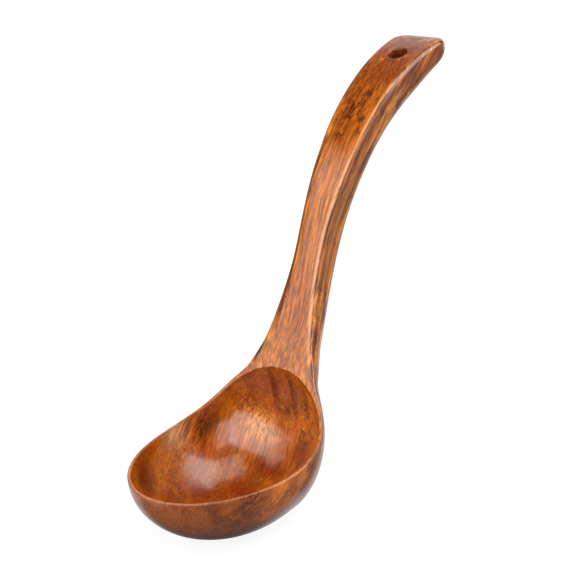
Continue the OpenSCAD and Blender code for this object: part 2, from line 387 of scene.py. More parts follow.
class Skin:
    """Collects points and faces, from which a mesh is made."""

    def __init__(self):
        self.points, self.faces = [], []
        self.flat = {}  # normals of the points on the face
        self.caps = []  # faces hidden inside the wood, where the two pieces meet
        self.hollow = set()  # points of the hollow
        self.marks = {}  # marks of the points on the stem's skin and in the hole

    def add(self, p):
        self.points.append(p)
        return len(self.points) - 1

    def skin_row(self, s):
        """One section of the outer skin, with its marks."""
        row = [self.add(p) for p in ring(s)]
        near = on_stem(s)
        if near > 0:
            for k, mark in enumerate(RIGHT_MARKS):
                self.marks[row[k]] = near * mark
                if k <= ARC_N:
                    self.marks[row[-1 - k]] = LEFT_MARK * near
        return row

    def on_face(self, s, x):
        """A point on the face of the ladle, with the face's own normal where it is flat."""
        v = self.add(face_point(s, x))
        if s < TOTAL - CORNER_L and bevel(s, x, 0) == 0:
            self.flat[v] = face_normal(s)
        return v

    def face_row(self, s, skin):
        """One row across the face, between the two ends of its row of the skin."""
        w = half_width(s) - edge(s)
        inner = [self.on_face(s, w * (1 - 2 * i / FACE_N)) for i in range(1, FACE_N)]
        return [skin[0]] + inner + [skin[-1]]

    def strip(self, a, b, flip=False):
        """Quads between two rows of point numbers."""
        for i in range(len(a) - 1):
            f = [a[i], a[i + 1], b[i + 1], b[i]]
            f = [v for k, v in enumerate(f) if v != f[k - 1]]
            if len(set(f)) < 3:
                continue
            self.faces.append(f[::-1] if flip else f)

    def bridge(self, a, b):
        """Triangles between two open rows with different numbers of points."""
        i = j = 0
        pa = [Vector(self.points[v]) for v in a]
        pb = [Vector(self.points[v]) for v in b]
        while i < len(a) - 1 or j < len(b) - 1:
            if j == len(b) - 1 or (i < len(a) - 1 and (pa[i + 1] - pb[j]).length
                                   <= (pb[j + 1] - pa[i]).length):
                triangle = [a[i], a[i + 1], b[j]]
                i += 1
            else:
                triangle = [a[i], b[j + 1], b[j]]
                j += 1
            if len(set(triangle)) == 3:
                self.faces.append(triangle)

    def cap(self, top, back, flip):
        """The flat face inside the wood where the two pieces meet."""
        loop = top[::-1][:-1] + back[:-1]
        self.caps.append(len(self.faces))
        self.faces.append(loop[::-1] if flip else loop)

    def close_end(self, top, back):
        """Closes the narrow rest of the rounded end."""
        self.faces.append(list(dict.fromkeys(top[::-1][:-1] + back[:-1])))


# Numbers of points: along half the rim, down the hollow's wall, round the lip, across the land
# beside the rim, from the bowl's end to the seam, and across the face
RIM_N, WALL_N, LIP_N, LAND_N, TAIL_N, FACE_N = 110, 60, 6, 5, 5, 32
MIDDLE_S = 52.0
# The lip's rounding, the weight of its corner, and the depth share at which the wall starts
LIP_ROUND, LIP_WEIGHT, LIP_DEPTH = 0.45, 0.72, 0.9


def lip_arc(top, corner, low):
    """Points between the land and the wall, on a conic that bends round the lip's corner."""
    arc = []
    for i in range(1, LIP_N):
        f = i / LIP_N
        a, b, c = (1 - f) ** 2, 2 * LIP_WEIGHT * f * (1 - f), f * f
        arc.append(tuple((a * top + b * corner + c * low) / (a + b + c)))
    return arc


def lip_and_wall(sk, rim, j):
    """The points from the land's inner edge over the lip down the wall, at one place of the rim.

    Returns the place s, x of the land's inner edge, the lip's points and the wall's points."""
    (s0, x0), (s, x), (s1, x1) = rim[j - 1], rim[j], rim[(j + 1) % len(rim)]
    run = math.hypot(s1 - s0, x1 - x0)
    out_s, out_x = -(x1 - x0) / run, (s1 - s0) / run
    if (s - MIDDLE_S) * out_s + x * out_x < 0:
        out_s, out_x = -out_s, -out_x
    land = (s + LIP_ROUND * out_s, x + LIP_ROUND * out_x)
    first = LIP_ROUND / ((BOWL_D - FLOOR) * LIP_DEPTH)
    wall = []
    for i in range(WALL_N):
        k = math.cos(first + (math.pi / 2 - first) * i / WALL_N)
        wall.append(hollow_point(MIDDLE_S + (s - MIDDLE_S) * k, x * k))
    top = Vector(below(*land, 0, slope(land[0])))
    corner = Vector(below(s, x, 0, slope(s)))
    arc = lip_arc(top, corner, Vector(wall[0]))
    return land, [sk.on_face(*land)] + [sk.add(p) for p in arc], [sk.add(p) for p in wall]


def build_bowl(sk):
    """The bowl from its tip to the seam. Returns the last rows of its skin and of its face."""
    places = [BOWL_L * (1 - math.cos(math.pi * k / RIM_N)) / 2 for k in range(1, RIM_N + 1)]
    tail = [BOWL_L + (SEAM - BOWL_L) * k / TAIL_N for k in range(1, TAIL_N + 1)]
    tip = sk.add(below(0, 0, 0, 0))
    rows = [sk.skin_row(s) for s in places + tail]
    for a, b in zip(rows[0], rows[0][1:]):
        sk.faces.append([tip, a, b])
    for a, b in zip(rows, rows[1:]):
        sk.strip(a, b, flip=True)

    # The rim's loop: (step, side) along the right side to the back, then forward on the left
    loop = [(k, 1) for k in range(RIM_N + 1)] + [(k, -1) for k in range(RIM_N - 1, 0, -1)]
    rim = []
    for k, side in loop:
        s = RIM + HOLLOW_L * (1 - math.cos(math.pi * k / RIM_N)) / 2
        rim.append((s, side * hollow_half(s)))
    lands, lips, walls = zip(*[lip_and_wall(sk, rim, j) for j in range(len(loop))])
    for wall in walls:
        sk.hollow.update(wall)
    bottom = sk.add(hollow_point(MIDDLE_S, 0))
    sk.hollow.add(bottom)
    columns = [lip + wall + [bottom] for lip, wall in zip(lips, walls)]
    for j in range(len(columns)):
        sk.strip(columns[j - 1], columns[j], flip=True)

    # The land between the rim and the outline. The rim's back end meets no single outline
    # point, so it has no row of its own.
    land_rows = []
    for j, (k, side) in enumerate(loop):
        if k == RIM_N:
            land_rows.append(None)
            continue
        s_in, x_in = lands[j]
        s_out, x_out, outer = 0.0, 0.0, tip
        if k:
            s_out = places[k - 1]
            x_out = side * (half_width(s_out) - edge(s_out))
            outer = rows[k - 1][0 if side > 0 else -1]
        row = [lips[j][0]]
        for i in range(1, LAND_N):
            f = i / LAND_N
            row.append(sk.on_face(s_in + (s_out - s_in) * f, x_in + (x_out - x_in) * f))
        land_rows.append(row + [outer])
    for j in range(len(loop)):
        a, b = land_rows[j - 1], land_rows[j]
        if a and b:
            sk.strip(a, b)

    # The face behind the hollow, from the land rows beside the rim's back end to the seam
    face_rows = [sk.face_row(s, rows[RIM_N - 1 + k]) for k, s in enumerate([BOWL_L] + tail)]
    for a, b in zip(face_rows, face_rows[1:]):
        sk.strip(a, b)
    right, left = land_rows[RIM_N - 1], land_rows[RIM_N + 1]
    sk.bridge(right[::-1] + [lips[RIM_N][0]] + left, face_rows[0])
    return rows[-1], face_rows[-1]


# The handle's rows: their distance, the number in the rounded end, and how near the last comes
# to the very end
HANDLE_STEP, END_N, END_SHARE = 0.8, 26, 0.9999
# The hole: half the block of faces around it, the rings from the block to the hole, how far its
# mouths are softened, the steps of a mouth and of the bore, and the search for its outline
BLOCK, RINGS_N, MOUTH, MOUTH_N, BORE_N = 7.2, 5, 0.5, 5, 12
SEARCH, HALVINGS = 14, 40


def along_hole(p):
    """How far a point is from the hole's axis along the face."""
    a = slope(HOLE_AT)
    y, z = face(HOLE_AT)
    return (p[1] - y) * math.cos(a) + (p[2] - z) * math.sin(a)


def place_for(u, x, surface):
    """The place s whose point on a surface lies at u along the face from the hole's axis."""
    lo, hi = HOLE_AT - SEARCH, HOLE_AT + SEARCH
    for _ in range(HALVINGS):
        mid = (lo + hi) / 2
        if along_hole(surface(mid, x)) < u:
            lo = mid
        else:
            hi = mid
    return (lo + hi) / 2


def nearest(values, goal):
    return min(range(len(values)), key=lambda i: abs(values[i] - goal))


def strips_round(sk, grid, rows, cols, flip):
    """Faces between the rows of a grid, apart from one block of it."""
    for i, (a, b) in enumerate(zip(grid, grid[1:])):
        if rows[0] <= i < rows[1]:
            sk.strip(a[:cols[0] + 1], b[:cols[0] + 1], flip)
            sk.strip(a[cols[1]:], b[cols[1]:], flip)
        else:
            sk.strip(a, b, flip)


def hole_patch(sk, grid, places, surface, x_at, rows, cols, flip):
    """Fills a block of a grid with rings that run into the round hole, and returns the last."""
    (i0, i1), (j0, j1) = rows, cols
    walk = [(i0, j) for j in range(j0, j1)]
    walk += [(i, j1) for i in range(i0, i1)]
    walk += [(i1, j) for j in range(j1, j0, -1)]
    walk += [(i, j0) for i in range(i1, i0, -1)]
    border = [grid[i][j] for i, j in walk]
    starts = [(places[i], x_at(i, j)) for i, j in walk]
    goals = []
    for v, (_, x) in zip(border, starts):
        angle = math.atan2(x, along_hole(sk.points[v]))
        goal_x = (HOLE_R + MOUTH) * math.sin(angle)
        goals.append((place_for((HOLE_R + MOUTH) * math.cos(angle), goal_x, surface), goal_x))
    loops = [border]
    for k in range(1, RINGS_N + 1):
        f = k / RINGS_N
        loops.append([sk.add(surface(s + (s2 - s) * f, x + (x2 - x) * f))
                      for (s, x), (s2, x2) in zip(starts, goals)])
    for a, b in zip(loops, loops[1:]):
        sk.strip(a + a[:1], b + b[:1], flip=flip)
    return loops[-1]


def bore(sk, top, back):
    """The wall of the hole between its two softened mouths."""
    a = slope(HOLE_AT)
    down = Vector((0, math.sin(a), -math.cos(a)))
    origin = Vector((0, *face(HOLE_AT)))

    def split(v):
        """How far down the bore a point is, and its offset from the axis."""
        p = Vector(sk.points[v]) - origin
        k = p.dot(down)
        return k, p - k * down

    def mouth(loop, sign):
        out = [loop]
        for i in range(1, MOUTH_N + 1):
            q = math.pi / 2 * i / MOUTH_N
            radius = HOLE_R + MOUTH * (1 - math.sin(q))
            row = []
            for v in loop:
                k, radial = split(v)
                k += sign * MOUTH * (1 - math.cos(q))
                row.append(sk.add(tuple(origin + radial * (radius / radial.length) + down * k)))
            out.append(row)
        return out

    def angle(v):
        _, radial = split(v)
        return math.atan2(radial.x, radial.y * math.cos(a) + radial.z * math.sin(a))

    def turn(v, w):
        return math.remainder(angle(w) - angle(v), math.tau)

    t, b = mouth(top, 1), mouth(back, -1)
    # Line the back's loops up with the top's
    n, t0, t1, inner = len(top), t[-1][0], t[-1][1], b[-1]
    shift = min(range(n), key=lambda k: abs(turn(t0, inner[k])))
    same = turn(t0, t1) * turn(inner[shift], inner[(shift + 1) % n]) > 0
    order = [(shift + (k if same else -k)) % n for k in range(n)]
    b = [[row[k] for k in order] for row in b]
    loops = t[:]
    for i in range(1, BORE_N):
        loops.append([sk.add(tuple(Vector(sk.points[v]).lerp(Vector(sk.points[w]), i / BORE_N)))
                      for v, w in zip(t[-1], b[-1])])
    loops += b[::-1]
    # Painted shade: the bore's wall is marked to turn darker
    for row in loops[2:-2]:
        for v in row:
            sk.marks[v] = BORE_SHADE_MARK
    for p, q in zip(loops, loops[1:]):
        sk.strip(p + p[:1], q + q[:1])


def build_handle(sk):
    """The handle from the seam to its end. Returns the first rows of its skin and of its face."""
    rounding = TOTAL - CORNER_L
    n = int((rounding - SEAM) / HANDLE_STEP)
    places = [SEAM + (rounding - SEAM) * i / n for i in range(n + 1)]
    places += [rounding + CORNER_L * END_SHARE * math.sin(math.pi / 2 * i / END_N)
               for i in range(1, END_N + 1)]
    rows = [sk.skin_row(s) for s in places]
    tops = [sk.face_row(s, row) for s, row in zip(places, rows)]

    def inner_half(s):
        return half_width(s) - edge(s)

    def top_x(i, j):
        return inner_half(places[i]) * (1 - 2 * j / FACE_N)

    def back_x(i, j):
        return sk.points[rows[i][j]][0]

    # The block around the hole, on the face and then on the back
    lo, hi = nearest(places, HOLE_AT - BLOCK), nearest(places, HOLE_AT + BLOCK)
    steps = int(round(BLOCK / inner_half(HOLE_AT) * FACE_N / 2))
    cols = (FACE_N // 2 - steps, FACE_N // 2 + steps)
    strips_round(sk, tops, (lo, hi), cols, False)
    top = hole_patch(sk, tops, places, face_point, top_x, (lo, hi), cols, False)
    middle = RING_N // 2
    back_lo = nearest([along_hole(sk.points[row[middle]]) for row in rows], -BLOCK)
    block, cols = (back_lo, back_lo + hi - lo), (middle - steps, middle + steps)
    strips_round(sk, rows, block, cols, True)
    back = hole_patch(sk, rows, places, back_point, back_x, block, cols, True)
    bore(sk, top, back)
    sk.close_end(tops[-1], rows[-1])
    return rows[0], tops[0]


# From skins to objects. The two pieces share the point normals of the whole ladle.
KEY_DIGITS = 4


def clean_mesh(sk):
    """The skin as a bmesh with every face outward, and its layers of normals and of caps."""
    bm = bmesh.new()
    given = bm.verts.layers.float_vector.new("given")
    cap = bm.faces.layers.int.new("cap")
    region = bm.verts.layers.float_vector.new("region")
    grain = bm.verts.layers.float_vector.new("grain")
    for i, p in enumerate(sk.points):
        v = bm.verts.new(p)
        v[grain] = grain_place(p)
        v[region] = (i in sk.hollow, i in sk.flat, sk.marks.get(i, 0))
        v[given] = sk.flat.get(i, (0, 0, 0))
    bm.verts.ensure_lookup_table()
    for i, f in enumerate(sk.faces):
        bm.faces.new([bm.verts[v] for v in f])[cap] = i in sk.caps
    bmesh.ops.delete(bm, geom=[v for v in bm.verts if not v.link_faces], context="VERTS")
    bmesh.ops.recalc_face_normals(bm, faces=bm.faces)
    if bm.calc_volume(signed=True) < 0:
        bmesh.ops.reverse_faces(bm, faces=bm.faces)
    bm.verts.index_update()
    return bm, given, cap


def place_key(co):
    return tuple(round(c, KEY_DIGITS) for c in co)


def outside_normals(parts):
    """Point normals of the whole ladle, as if it were one skin."""
    total = {}
    for bm, given, cap in parts:
        for f in bm.faces:
            if f[cap]:
                continue
            for loop in f.loops:
                k = place_key(loop.vert.co)
                total[k] = total.get(k, Vector()) + f.normal * loop.calc_angle()
        for v in bm.verts:
            if v[given].length > 0:
                total[place_key(v.co)] = v[given].copy()
    return {k: n.normalized() for k, n in total.items()}


def make(name, part, normals):
    """Moves the points to where the CAD has the ladle, in metres, and makes the object."""
    bm, given, cap = part
    loops = []
    for f in bm.faces:
        f.smooth = True
        for loop in f.loops:
            loops.append(f.normal.copy() if f[cap] else normals[place_key(loop.vert.co)])
    for v in bm.verts:
        v.co = (v.co + Vector(SHIFT)) * MM
    bm.verts.layers.float_vector.remove(given)
    bm.faces.layers.int.remove(bm.faces.layers.int["cap"])
    mesh = bpy.data.meshes.new(name)
    bm.to_mesh(mesh)
    bm.free()
    mesh.normals_split_custom_set(loops)
    obj = bpy.data.objects.new(name, mesh)
    bpy.context.scene.collection.objects.link(obj)
    return obj


bowl_skin, handle_skin = Skin(), Skin()
bowl_row, bowl_top = build_bowl(bowl_skin)
handle_row, handle_top = build_handle(handle_skin)
bowl_skin.cap(bowl_top, bowl_row, False)
handle_skin.cap(handle_top, handle_row, True)

ground = min(p[2] for p in bowl_skin.points)
front = min(p[1] for p in bowl_skin.points)
rear = max(p[1] for p in handle_skin.points)
SHIFT = (0.0, -(front + rear) / 2, -ground)

parts = [clean_mesh(bowl_skin), clean_mesh(handle_skin)]
normals = outside_normals(parts)
bowl = make("bowl_carved", parts[0], normals)
handle = make("handle_carved", parts[1], normals)
for obj, node in ((bowl, "bowl"), (handle, "handle")):
    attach(obj, BODY)
    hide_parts(node)


class Graph:
    """Short names for the nodes of one material or world."""

    def __init__(self, owner):
        owner.use_nodes = True
        self.nodes, self.links = owner.node_tree.nodes, owner.node_tree.links

    def put(self, socket, value):
        if isinstance(value, bpy.types.NodeSocket):
            self.links.new(value, socket)
        else:
            socket.default_value = value

    def math(self, op, a, b=0.0, c=0.0, clamp=False):
        n = self.nodes.new("ShaderNodeMath")
        n.operation, n.use_clamp = op, clamp
        for k, v in enumerate((a, b, c)):
            self.put(n.inputs[k], v)
        return n.outputs[0]

    def times(self, a, b):
        return self.math("MULTIPLY", a, b)

    def times_add(self, a, b, c):
        return self.math("MULTIPLY_ADD", a, b, c)

    def less(self, a):
        """1 minus a."""
        return self.math("SUBTRACT", 1.0, a)

    def most(self, *values):
        total = values[0]
        for v in values[1:]:
            total = self.math("MAXIMUM", total, v)
        return total

    def vector(self, op, a, b=(0, 0, 0)):
        n = self.nodes.new("ShaderNodeVectorMath")
        n.operation = op
        self.put(n.inputs[0], a)
        self.put(n.inputs[1], b)
        number = op in ("LENGTH", "DISTANCE", "DOT_PRODUCT")
        return n.outputs["Value" if number else "Vector"]

    def split(self, value):
        n = self.nodes.new("ShaderNodeSeparateXYZ")
        self.put(n.inputs[0], value)
        return n.outputs["X"], n.outputs["Y"], n.outputs["Z"]

    def coordinates(self, name):
        return self.nodes.new("ShaderNodeTexCoord").outputs[name]

    def attribute(self, name):
        n = self.nodes.new("ShaderNodeAttribute")
        n.attribute_name = name
        return n.outputs["Vector"]

    def noise(self, where, across, length, detail, rough, warp=0.0, colour=False):
        """Noise with so many waves to the millimetre across the grain and along it."""
        n = self.nodes.new("ShaderNodeTexNoise")
        self.put(n.inputs["Vector"], self.vector("MULTIPLY", where, (across, length, across)))
        for name, v in (("Scale", 1.0), ("Detail", detail), ("Roughness", rough),
                        ("Distortion", warp)):
            n.inputs[name].default_value = v
        return n.outputs["Color" if colour else "Fac"]

    def span(self, value, lo, hi, a=0.0, b=1.0, smooth=True):
        """Turns the range lo to hi into a to b, and stays at a or b outside it."""
        n = self.nodes.new("ShaderNodeMapRange")
        n.interpolation_type = "SMOOTHSTEP" if smooth else "LINEAR"
        for name, v in (("Value", value), ("From Min", lo), ("From Max", hi),
                        ("To Min", a), ("To Max", b)):
            self.put(n.inputs[name], v)
        return n.outputs["Result"]

    def between(self, share, a, b):
        n = self.nodes.new("ShaderNodeMix")
        for name, v in (("Factor", share), ("A", a), ("B", b)):
            self.put(n.inputs[name], v)
        return n.outputs["Result"]

    def mix(self, share, a, b, mode="MIX"):
        n = self.nodes.new("ShaderNodeMix")
        n.data_type, n.blend_type = "RGBA", mode
        self.put(n.inputs["Factor"], share)
        for name, v in (("A", a), ("B", b)):
            self.put(n.inputs[name], v if isinstance(v, bpy.types.NodeSocket) else (*v, 1))
        return n.outputs["Result"]

    def layers(self, colour, coats):
        """Lays colours over a colour, one after the other: (share, strength, colour)."""
        for share, strength, tone in coats:
            colour = self.mix(self.times(share, strength), colour, tone)
        return colour

    def spot(self, place, centre, radii):
        """1 in the middle of an oval place in the wood and 0 outside it.

        The radii are across the grain, along it and square to both."""
        off = self.vector("SUBTRACT", place, grain_place(Vector(centre) - Vector(SHIFT)))
        near = self.vector("LENGTH", self.vector("DIVIDE", off, radii))
        return self.span(near, 1.0, 0.0)

    def spots(self, place, ovals):
        """The strongest of several spots: (strength, centre, radii)."""
        return self.most(*[self.times(self.spot(place, centre, radii), strength)
                           for strength, centre, radii in ovals])

    def tinted(self, colour, place, mask, tints):
        """Turns oval places of a region towards their own colours, one after the other."""
        for strength, centre, radii, tint in tints:
            share = self.times(self.times(self.spot(place, centre, radii), strength), mask)
            colour = self.mix(share, colour, tint)
        return colour

    def seen(self):
        """Two factors: 1 for the camera's rays, and 1 for those, gloss and see-through rays."""
        path = self.nodes.new("ShaderNodeLightPath").outputs
        camera = path["Is Camera Ray"]
        return camera, self.most(camera, path["Is Glossy Ray"], path["Is Transmission Ray"])


# Lacquered wood. Places are points of the ladle in millimetres, and sizes are radii across the
# grain, along it and square to both.
GOLD = (0.48, 0.150, 0.021)
ORANGE = (0.40, 0.104, 0.010)
DEEP = (0.36, 0.078, 0.001)
RED = (0.25, 0.036, 0.003)
BROWN = (0.070, 0.013, 0.001)
UMBER = (0.23, 0.056, 0.007)
# Pale colour of the paler marks; on the stem's right edge it is a painted highlight
PALE_AND_RIDGE_HIGHLIGHT = (0.62, 0.265, 0.090)
END_BROWN = (0.170, 0.026, 0.006)
BOWL_BROWN = (0.265, 0.058, 0.009)
# Painted shade for the bowl's underside
UNDERSIDE_SHADE = (0.085, 0.016, 0.003)
LATE_WOOD = (0.085, 0.014, 0.004)
SIDE_DARK = (0.09, 0.022, 0.003)
SIDE_GOLD = (0.60, 0.185, 0.014)
SMUDGE = (0.10, 0.017, 0.002)
PIT = (0.03, 0.012, 0.006)
THICK_LACQUER = (1.02, 0.97, 0.38)

# Strength, place and size of the dark flames
FLAMES = (
    (1.0, (2, 51.5, 170.5), (5, 8, 7)),
    (0.9, (-7, 48, 168), (4, 7, 7)),
    (1.0, (5.5, 41, 162), (4, 6, 7)),
    (1.0, (-1, 44, 164), (12, 17, 10)),
    (1.0, (-2, 34, 155), (5, 5, 8)),
    (0.9, (7, 36.5, 157.6), (3, 5, 7)),
    (0.8, (11.5, 50, 162.5), (3, 4.5, 5)),
    (0.6, (11.5, 61, 163.5), (3, 7, 5)),
    (1.0, (-32.5, -35.5, 31.5), (9, 13, 7)),
    (0.7, (-20, -19, 40), (11, 7, 7)),
    (0.9, (1, -16, 40), (12, 6, 7)),
    (1.0, (13, -17, 43), (5, 9, 7)),
    (0.5, (-20, -66, 13), (16, 14, 9)),
    (1.0, (33, -78, 31), (9, 17, 6)),
    (0.4, (36, -62, 26), (8, 10, 6)),
    (0.6, (38, -40, 34), (6, 8, 12)),
    (0.7, (12, -20, 29), (7, 10, 7)),
)
# Places in the hollow where the fibres show strongly
LIVELY = (
    (1.0, (-34, -42, 32), (12, 22, 11)),
    (0.9, (-14, -19, 29), (18, 15, 16)),
    (0.7, (13, -18, 34), (12, 16, 14)),
)
# The deep orange curve of the handle, the browner wood towards its end, and the end's plain sides
DEEP_CURVE = ((1.0, (0, 44, 162), (30, 32, 14)), (0.9, (0, 84, 178), (30, 30, 16)))
BROWN_END = ((1.0, (0, 80, 180), (30, 52, 24)),)
PLAIN_END = ((1.0, (0, 78, 184), (12, 12, 12)), (1.0, (-3, 103, 187), (18, 9, 10)))
PITS = (
    (0.9, (26.2, -83.6, 20.0), (0.9, 1.2, 0.9)),
    (0.8, (22.5, -88.7, 20.3), (0.9, 1.2, 0.9)),
    (0.8, (-6.3, -3.9, 88.9), (1.0, 0.8, 0.8)),
)
# Strength, place, size and colour of the tints in the hollow, on the face and on the outside
HOLLOW_TINTS_AND_HIGHLIGHT = (
    (0.95, (-6.6, -16, 51), (26, 16, 15), (0.250, 0.058, 0.050)),
    (0.8, (-14, -17, 40), (16, 7, 8), (0.37, 0.070, 0.002)),
    (1.0, (-14, -19.4, 29), (16, 13, 14), (0.59, 0.225, 0.095)),
    (0.95, (13, -17.3, 35.5), (9, 14, 10), (0.49, 0.110, 0.003)),
    (0.9, (13.3, -22.6, 22.8), (12, 9, 10), (0.27, 0.036, 0.001)),
    (1.0, (-2.3, -28, 14.6), (16, 9, 13), (0.23, 0.028, 0.001)),
    (0.9, (-6.7, -42, 7.8), (16, 12, 12), (0.235, 0.023, 0.001)),
    (0.9, (-19, -55, 9.5), (16, 14, 12), (0.215, 0.021, 0.001)),
    (1.0, (-30, -80, 24), (20, 18, 14), (0.085, 0.007, 0.001)),
    (0.8, (-20, -72.5, 12.5), (12, 10, 10), (0.22, 0.034, 0.001)),
    # A painted highlight: the pale pink patch on the hollow's left wall
    (1.0, (-35, -52, 33), (13, 13, 12), (0.56, 0.310, 0.340)),
    (1.0, (-32, -33, 33), (11, 11, 9), (0.19, 0.036, 0.002)),
    (1.0, (-30, -40, 22.4), (10, 7, 7), (0.40, 0.074, 0.001)),
    (0.8, (-26, -47, 15.3), (12, 9, 10), (0.34, 0.085, 0.018)),
)
FACE_TINTS = (
    (0.7, (0, 62, 176), (24, 14, 14), (0.185, 0.031, 0.003)),
    (0.8, (0, -2, 84), (50, 30, 30), (0.37, 0.088, 0.007)),
)
OUTSIDE_TINTS = (
    (1.0, (36, -60, 27), (14, 30, 14), (0.78, 0.215, 0.035)),
    (0.8, (38, -50, 33), (9, 14, 12), (0.52, 0.150, 0.018)),
)
# Growth rings: their middle in the wood, and their distance
RING_HEART, RING_GAP = (-60, 0, 30), 10.4
# Late wood on the back wall of the hollow: its place, its bands, and how they lean with height
BACK_WALL = ((-3, -17, 49), (34, 22, 18))
BANDS, BAND_LEAN, BAND_START = (-20.0, -7.4, 3.6, 11.9), 130.0, -8.24
# Heights in metres between which painted shade darkens the underside, and how far back in
# the wood the streaked sides of the stem begin
LOW_FROM, LOW_TO = 0.026, 0.002
SIDES_FROM, SIDES_TO = 60.0, 80.0
# Height of the relief in metres: fibres, waves of hand work, and open pores
FIBRE_RELIEF, WAVE_RELIEF, PORE_RELIEF = 0.000018, 0.00022, -0.00003
# Roughness: its least, and what the fibres add. The specular level is that of a clear lacquer.
SMOOTH, FIBRE_ROUGH, SPECULAR = 0.11, 0.14, 0.75


def late_wood(g, x, z, streak, wall):
    """Four bands on the back wall of the hollow, each sharp on one side."""
    where = g.math("ADD", x, g.times_add(z, BAND_LEAN, g.times(streak, 4.0)))
    where = g.math("ADD", where, BAND_START)
    bands = g.most(*[g.times(g.span(where, at - 0.6, at + 0.5), g.span(where, at + 6.0, at + 0.8))
                     for at in BANDS])
    return g.times(bands, wall)


def lacquered_wood():
    mat = bpy.data.materials.new("lacquered_wood")
    g = Graph(mat)
    shader = g.nodes["Principled BSDF"]
    place = g.attribute("grain")  # where a point lies in the wood
    in_hollow, on_face, marks = g.split(g.attribute("region"))
    # Paler marks, with a painted highlight on the stem's right edge, and darker marks, with
    # painted shade in the hole
    paler_and_ridge_highlight = g.most(marks, 0.0)
    darker_and_hole_shade = g.most(g.times(marks, -1.0), 0.0)
    x, along, _ = g.split(place)
    _, _, height = g.split(g.coordinates("Object"))

    # The grain sways a little. Fibres, hairs, streaks, clouds and growth rings follow it.
    sway = g.noise(place, 0.035, 0.012, 2.0, 0.5, colour=True)
    sway = g.vector("MULTIPLY", g.vector("SUBTRACT", sway, (0.5, 0.5, 0.5)), (7, 0, 7))
    grain = g.vector("ADD", place, sway)
    fibre = g.noise(grain, 0.95, 0.045, 3.0, 0.6)
    hair = g.noise(grain, 1.7, 0.075, 2.0, 0.5)
    streak = g.noise(grain, 0.30, 0.013, 4.0, 0.55)
    cloud = g.noise(grain, 0.07, 0.035, 3.0, 0.5)
    band = g.noise(grain, 0.42, 0.006, 2.0, 0.5)
    from_heart = g.vector("MULTIPLY", g.vector("SUBTRACT", grain, RING_HEART), (1, 0, 0.9))
    turns = g.times(g.vector("LENGTH", from_heart), 2 * math.pi / RING_GAP)
    rings = g.span(g.math("SINE", g.times_add(streak, 3.0, turns)), 0.1, 1.0)
    # Dark flames, flecks, pores and smudges
    flame = g.noise(grain, 0.58, 0.27, 4.0, 0.62, 0.5)
    flecks = g.noise(grain, 1.3, 0.35, 2.0, 0.6)
    pores = g.noise(grain, 2.0, 0.16, 1.0, 0.5)
    smudge = g.noise(grain, 0.13, 0.09, 3.0, 0.55)

    # Regions
    flame_at, lively = g.spots(place, FLAMES), g.spots(place, LIVELY)
    deep_at, brown_at = g.spots(place, DEEP_CURVE), g.spots(place, BROWN_END)
    low = g.span(height, LOW_FROM, LOW_TO)
    outside = g.math("SUBTRACT", 1.0, g.math("ADD", in_hollow, on_face, clamp=True), clamp=True)
    sides = g.times(outside, g.span(along, SIDES_FROM, SIDES_TO))
    sides = g.times(sides, g.less(g.spots(place, PLAIN_END)))
    plain = g.math("SUBTRACT", outside, sides, clamp=True)
    wall = g.times(g.spot(place, *BACK_WALL), in_hollow)
    # Where a surface cuts across the grain, the fibres show as fine dots with less contrast
    normal = g.nodes.new("ShaderNodeNewGeometry").outputs["Normal"]
    cross = g.vector("DOT_PRODUCT", normal, (0, math.cos(GRAIN), math.sin(GRAIN)))
    cross = g.times(g.span(g.math("ABSOLUTE", cross), 0.25, 0.9), g.less(on_face))

    # Colour, from the broad tones to the marks
    golden = g.times(g.span(streak, 0.40, 0.58), g.times_add(in_hollow, -0.5, 1.0))
    golden = g.times(golden, g.times_add(deep_at, -0.95, 1.0))
    colour = g.mix(golden, g.mix(g.most(deep_at, in_hollow), ORANGE, DEEP), GOLD)
    colour = g.layers(colour, [
        (outside, 0.40, UMBER),
        (g.span(cloud, 0.45, 0.65), 0.35, RED),
        (brown_at, 0.95, END_BROWN),
        (plain, 0.70, BOWL_BROWN),
    ])
    for mask, tints in ((in_hollow, HOLLOW_TINTS_AND_HIGHLIGHT), (on_face, FACE_TINTS), (plain, OUTSIDE_TINTS)):
        colour = g.tinted(colour, place, mask, tints)
    blot = g.times(g.span(smudge, 0.50, 0.66), g.times_add(in_hollow, -0.65, 1.0))
    dark = g.times(g.span(flame, 0.43, 0.51), g.times_add(flame_at, 0.9, 0.10))
    holes = g.times(g.span(pores, 0.58, 0.66), g.times_add(flame_at, 0.5, 0.40))
    colour = g.layers(colour, [
        # Painted shade, darker towards the bottom of the bowl's outside
        (g.times(outside, low), 0.80, UNDERSIDE_SHADE),
        (rings, 0.12, BROWN),
        (late_wood(g, x, height, streak, wall), 0.9, LATE_WOOD),
        (sides, g.span(band, 0.50, 0.36, 0.0, 0.75), SIDE_DARK),
        (sides, g.span(band, 0.50, 0.62, 0.0, 0.9), SIDE_GOLD),
        (g.times(blot, g.less(on_face)), 0.5, SMUDGE),
        (dark, g.span(flecks, 0.36, 0.54, 0.5, 1.0), BROWN),
        (holes, g.times_add(cross, -0.6, 1.0), BROWN),
    ])
    # Fibres and hairs make it lighter and darker, less so in the calm places
    tone = g.times(g.span(fibre, 0.38, 0.62, 0.55, 1.50, False),
                   g.span(hair, 0.36, 0.64, 0.74, 1.26, False))
    calm = g.times_add(g.math("SUBTRACT", tone, 1.0), 0.35, 1.0)
    even = g.most(
        g.times(g.most(cross, g.times(in_hollow, 0.75)), g.less(lively)),
        g.times(g.most(g.times(deep_at, 0.65), brown_at), 0.95),
        g.times(on_face, 0.3),
        g.times(plain, 0.85))
    colour = g.mix(1.0, colour, g.between(even, tone, calm), "MULTIPLY")
